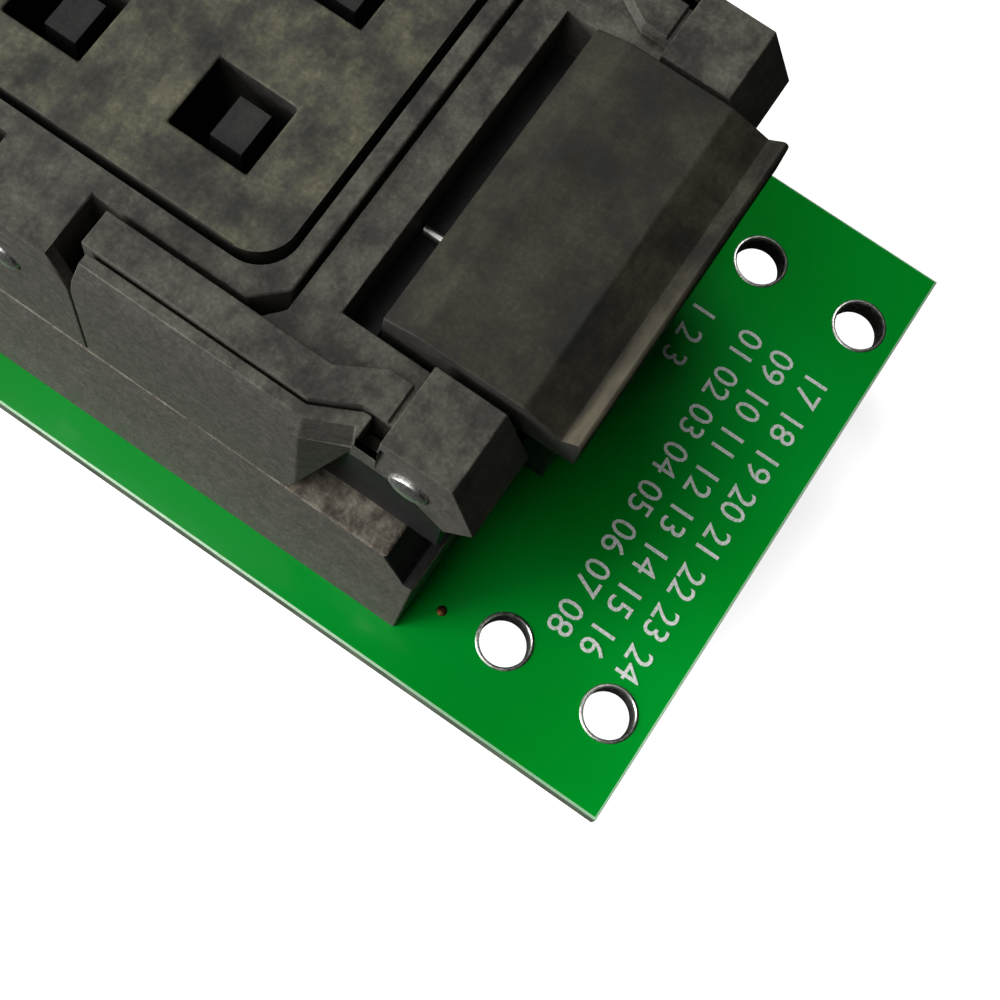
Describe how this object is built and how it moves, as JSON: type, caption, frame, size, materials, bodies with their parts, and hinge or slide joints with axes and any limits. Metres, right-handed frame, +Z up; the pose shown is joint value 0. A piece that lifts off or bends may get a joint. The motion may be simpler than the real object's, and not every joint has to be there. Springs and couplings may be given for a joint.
{
  "type": "zif socket",
  "caption": "Clamshell zero-force test socket for a fine-pitch ball-grid package, on an adapter board with pin headers.",
  "frame": {"origin": "below the middle of the package nest, on the plane that the header pin tips stand on", "axes": "+X from the hinge towards the latch, +Y across the socket, +Z up"},
  "size_m": [0.0716, 0.035, 0.0311],
  "materials": {
    "solder_mask": "gloss",
    "plated_copper": "satin",
    "black_pps": "matte",
    "header_black": "matte",
    "gold_plate": "polished",
    "steel": "polished",
    "nest_grey": "matte"
  },
  "bodies": {
    "base": {"adapter_board": "solder_mask", "hole_barrels": "plated_copper", "header_left": "header_black", "header_right": "header_black", "header_left_pins": "gold_plate", "header_right_pins": "gold_plate", "board_screws": "steel", "base_housing": "black_pps", "contact_block": "black_pps", "contact_cover": "black_pps", "contact_barrels": "gold_plate", "nest_springs": "steel", "hinge_pin": "steel", "lid_springs": "steel"},
    "contacts": {"contact_plungers": "gold_plate"},
    "nest": {"nest_frame": "nest_grey"},
    "lid": {"lid_frame": "black_pps", "cross_pin": "steel"},
    "plate": {"pressure_plate": "black_pps", "pusher_block": "nest_grey", "pusher_screws": "steel"},
    "yoke": {"yoke": "black_pps", "latch_pin": "steel", "latch_spring": "steel"},
    "latch": {"latch": "black_pps"}
  },
  "joints": [
    {"name": "lid_hinge", "type": "hinge", "parent": "base", "child": "lid", "pos_m": [-0.0195, 0, 0.02114], "axis": [0, -1, 0], "range_deg": [0, 100]},
    {"name": "plate_rock", "type": "hinge", "parent": "lid", "child": "plate", "pos_m": [-0.0011, 0, 0.02504], "axis": [0, -1, 0], "range_deg": [-1.2, 1.2]},
    {"name": "yoke_rock", "type": "hinge", "parent": "lid", "child": "yoke", "pos_m": [-0.0011, 0, 0.02504], "axis": [0, -1, 0], "range_deg": [0, 0.8]},
    {"name": "latch_pivot", "type": "hinge", "parent": "yoke", "child": "latch", "pos_m": [0.02, 0, 0.02784], "axis": [0, -1, 0], "range_deg": [-4, 12], "stiffness_Nm_per_rad": 0.01},
    {"name": "nest_slide", "type": "slide", "parent": "base", "child": "nest", "axis": [0, 0, 1], "range_m": [-0.0005, 0], "stiffness_N_per_m": 400, "deforming": ["nest_springs"]},
    {"name": "contact_travel", "type": "slide", "parent": "base", "child": "contacts", "axis": [0, 0, 1], "range_m": [-0.0003, 0], "stiffness_N_per_m": 500}
  ]
}
